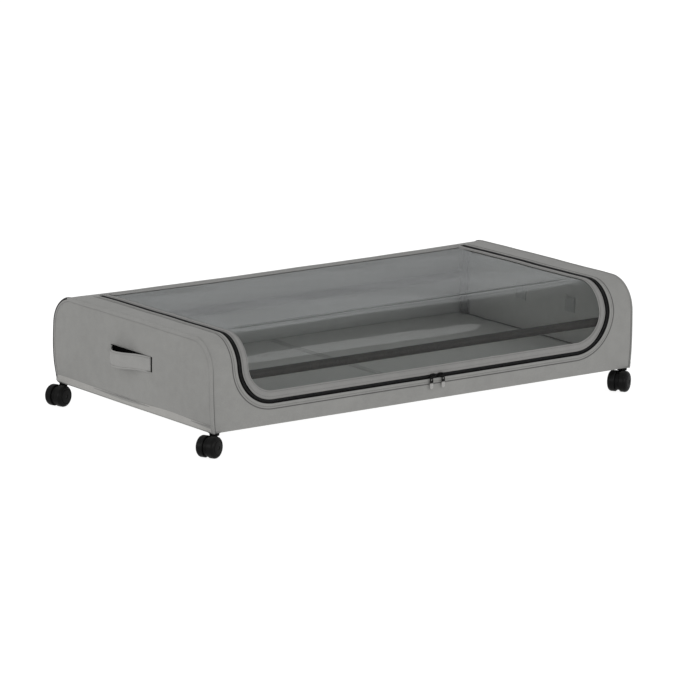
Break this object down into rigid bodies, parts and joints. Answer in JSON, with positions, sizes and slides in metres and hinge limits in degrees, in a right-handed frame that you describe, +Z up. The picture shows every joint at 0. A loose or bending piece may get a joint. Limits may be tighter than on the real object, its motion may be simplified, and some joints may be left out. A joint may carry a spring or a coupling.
{
  "type": "under bed box",
  "caption": "Low rolling fabric storage box with a steel tube frame, a zipped clear window lid, strap handles and twin-wheel casters.",
  "frame": {"origin": "floor under the middle of the box", "axes": "+X along the length, to the right seen from the zipped front; +Y from the front to the back wall; +Z up"},
  "size_m": [0.9502, 0.5248, 0.2015],
  "materials": {
    "grey_fabric": "laminated non-woven fabric, fine matte texture",
    "black_binding": "woven binding tape",
    "board": "stiffener board covered in the same grey fabric",
    "grey_webbing": "folded fabric strap, stitched edges",
    "black_zipper": "woven tape with nylon coil",
    "dark_metal": "black enamelled die-cast zinc",
    "clear_pvc": "clear soft sheet, glossy",
    "zinc_steel": "zinc plated",
    "black_nylon": "moulded nylon, satin",
    "black_plastic": "moulded plastic",
    "black_steel": "black powder coat"
  },
  "bodies": {
    "box": {"cover_bottom_panel": "grey_fabric", "cover_end_panel_left": "grey_fabric", "cover_end_panel_right": "grey_fabric", "cover_back_panel": "grey_fabric", "cover_front_panel": "grey_fabric", "cover_shoulder_left": "grey_fabric", "cover_shoulder_right": "grey_fabric", "edge_binding_left": "black_binding", "edge_binding_right": "black_binding", "end_board_left": "board", "end_board_right": "board", "base_board_left": "board", "base_board_right": "board", "zipper_tape_body": "black_zipper", "handle_strap_left": "grey_webbing", "handle_strap_right": "grey_webbing", "end_hoop_left": "black_steel", "end_hoop_right": "black_steel", "front_bottom_rail": "black_steel", "back_bottom_rail": "black_steel", "left_bottom_bar": "black_steel", "right_bottom_bar": "black_steel", "front_mid_rail": "black_steel", "back_mid_rail": "black_steel", "cross_bar_left": "black_steel", "cross_bar_right": "black_steel", "rail_saddle_plugs": "black_plastic", "frame_screws": "zinc_steel", "corner_connector_front_left": "black_plastic", "corner_connector_back_left": "black_plastic", "corner_connector_front_right": "black_plastic", "corner_connector_back_right": "black_plastic", "caster_front_left_stem": "zinc_steel", "caster_back_left_stem": "zinc_steel", "caster_front_right_stem": "zinc_steel", "caster_back_right_stem": "zinc_steel"},
    "window_flap": {"window_sheet": "clear_pvc", "window_border": "grey_fabric", "zipper_tape_flap": "black_zipper"},
    "slider_left": {"zipper_slider_left": "dark_metal"},
    "slider_right": {"zipper_slider_right": "dark_metal"},
    "pull_left": {"zipper_pull_left": "dark_metal"},
    "pull_right": {"zipper_pull_right": "dark_metal"},
    "caster_front_left": {"caster_front_left_hood": "black_nylon", "caster_front_left_axle": "zinc_steel"},
    "wheel_front_left_outer": {"caster_front_left_wheel_outer": "black_nylon"},
    "wheel_front_left_inner": {"caster_front_left_wheel_inner": "black_nylon"},
    "caster_back_left": {"caster_back_left_hood": "black_nylon", "caster_back_left_axle": "zinc_steel"},
    "wheel_back_left_outer": {"caster_back_left_wheel_outer": "black_nylon"},
    "wheel_back_left_inner": {"caster_back_left_wheel_inner": "black_nylon"},
    "caster_front_right": {"caster_front_right_hood": "black_nylon", "caster_front_right_axle": "zinc_steel"},
    "wheel_front_right_outer": {"caster_front_right_wheel_outer": "black_nylon"},
    "wheel_front_right_inner": {"caster_front_right_wheel_inner": "black_nylon"},
    "caster_back_right": {"caster_back_right_hood": "black_nylon", "caster_back_right_axle": "zinc_steel"},
    "wheel_back_right_outer": {"caster_back_right_wheel_outer": "black_nylon"},
    "wheel_back_right_inner": {"caster_back_right_wheel_inner": "black_nylon"}
  },
  "joints": [
    {"name": "flap_hinge", "type": "hinge", "parent": "box", "child": "window_flap", "pos_m": [0, 0.1848, 0.201], "axis": [-1, 0, 0], "range_deg": [0, 110]},
    {"name": "pull_left_swing", "type": "hinge", "parent": "slider_left", "child": "pull_left", "pos_m": [0.0044, -0.2555, 0.083], "axis": [0, 1, 0], "range_deg": [-20, 90]},
    {"name": "pull_right_swing", "type": "hinge", "parent": "slider_right", "child": "pull_right", "pos_m": [0.0296, -0.2555, 0.083], "axis": [0, -1, 0], "range_deg": [-20, 90]},
    {"name": "slider_left_travel", "type": "slide", "parent": "box", "child": "slider_left", "axis": [-1, 0, 0], "range_m": [0, 0.31]},
    {"name": "slider_right_travel", "type": "slide", "parent": "box", "child": "slider_right", "axis": [1, 0, 0], "range_m": [0, 0.29]},
    {"name": "swivel_front_left", "type": "hinge", "parent": "box", "child": "caster_front_left", "pos_m": [-0.438, -0.238, 0.02], "axis": [0, 0, 1], "continuous": true},
    {"name": "wheel_front_left_outer_spin", "type": "hinge", "parent": "caster_front_left", "child": "wheel_front_left_outer", "pos_m": [-0.45341, -0.24518, 0.019], "axis": [-0.4226, 0.9063, 0], "continuous": true},
    {"name": "wheel_front_left_inner_spin", "type": "hinge", "parent": "caster_front_left", "child": "wheel_front_left_inner", "pos_m": [-0.45341, -0.24518, 0.019], "axis": [-0.4226, 0.9063, 0], "continuous": true},
    {"name": "swivel_back_left", "type": "hinge", "parent": "box", "child": "caster_back_left", "pos_m": [-0.438, 0.238, 0.02], "axis": [0, 0, 1], "continuous": true},
    {"name": "wheel_back_left_outer_spin", "type": "hinge", "parent": "caster_back_left", "child": "wheel_back_left_outer", "pos_m": [-0.45407, 0.23247, 0.019], "axis": [-0.3256, 0.9455, 0], "continuous": true},
    {"name": "wheel_back_left_inner_spin", "type": "hinge", "parent": "caster_back_left", "child": "wheel_back_left_inner", "pos_m": [-0.45407, 0.23247, 0.019], "axis": [-0.3256, 0.9455, 0], "continuous": true},
    {"name": "swivel_front_right", "type": "hinge", "parent": "box", "child": "caster_front_right", "pos_m": [0.438, -0.238, 0.02], "axis": [0, 0, 1], "continuous": true},
    {"name": "wheel_front_right_outer_spin", "type": "hinge", "parent": "caster_front_right", "child": "wheel_front_right_outer", "pos_m": [0.42391, -0.24751, 0.019], "axis": [-0.5592, 0.829, 0], "continuous": true},
    {"name": "wheel_front_right_inner_spin", "type": "hinge", "parent": "caster_front_right", "child": "wheel_front_right_inner", "pos_m": [0.42391, -0.24751, 0.019], "axis": [-0.5592, 0.829, 0], "continuous": true},
    {"name": "swivel_back_right", "type": "hinge", "parent": "box", "child": "caster_back_right", "pos_m": [0.438, 0.238, 0.02], "axis": [0, 0, 1], "continuous": true},
    {"name": "wheel_back_right_outer_spin", "type": "hinge", "parent": "caster_back_right", "child": "wheel_back_right_outer", "pos_m": [0.42299, 0.23002, 0.019], "axis": [-0.4695, 0.8829, 0], "continuous": true},
    {"name": "wheel_back_right_inner_spin", "type": "hinge", "parent": "caster_back_right", "child": "wheel_back_right_inner", "pos_m": [0.42299, 0.23002, 0.019], "axis": [-0.4695, 0.8829, 0], "continuous": true}
  ]
}
